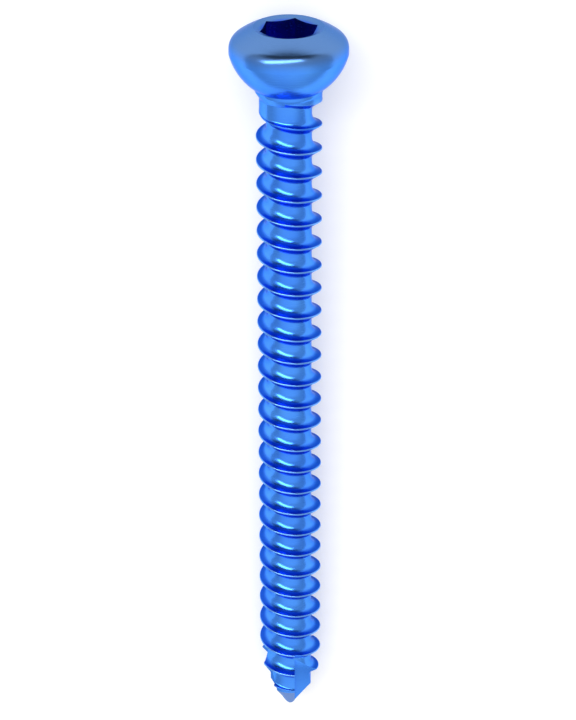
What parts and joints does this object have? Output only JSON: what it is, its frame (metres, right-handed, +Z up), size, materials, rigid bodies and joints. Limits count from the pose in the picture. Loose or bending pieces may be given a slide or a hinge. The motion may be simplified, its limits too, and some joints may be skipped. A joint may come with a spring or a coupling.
{
  "type": "cortical bone screw",
  "caption": "Bone screw with a domed hexagon-socket head, a round seat, a coarse thread with a steep and a sloping flank, and a fluted self-tapping tip.",
  "frame": {"origin": "on the plane that the screw lies on, under the middle of its bounding box", "axes": "+Y along the screw towards its head, +Z up, +X across it"},
  "size_m": [0.008, 0.0542, 0.008],
  "materials": {
    "anodised_titanium": "satin"
  },
  "bodies": {
    "root": {"bone_screw": "anodised_titanium"}
  },
  "joints": []
}
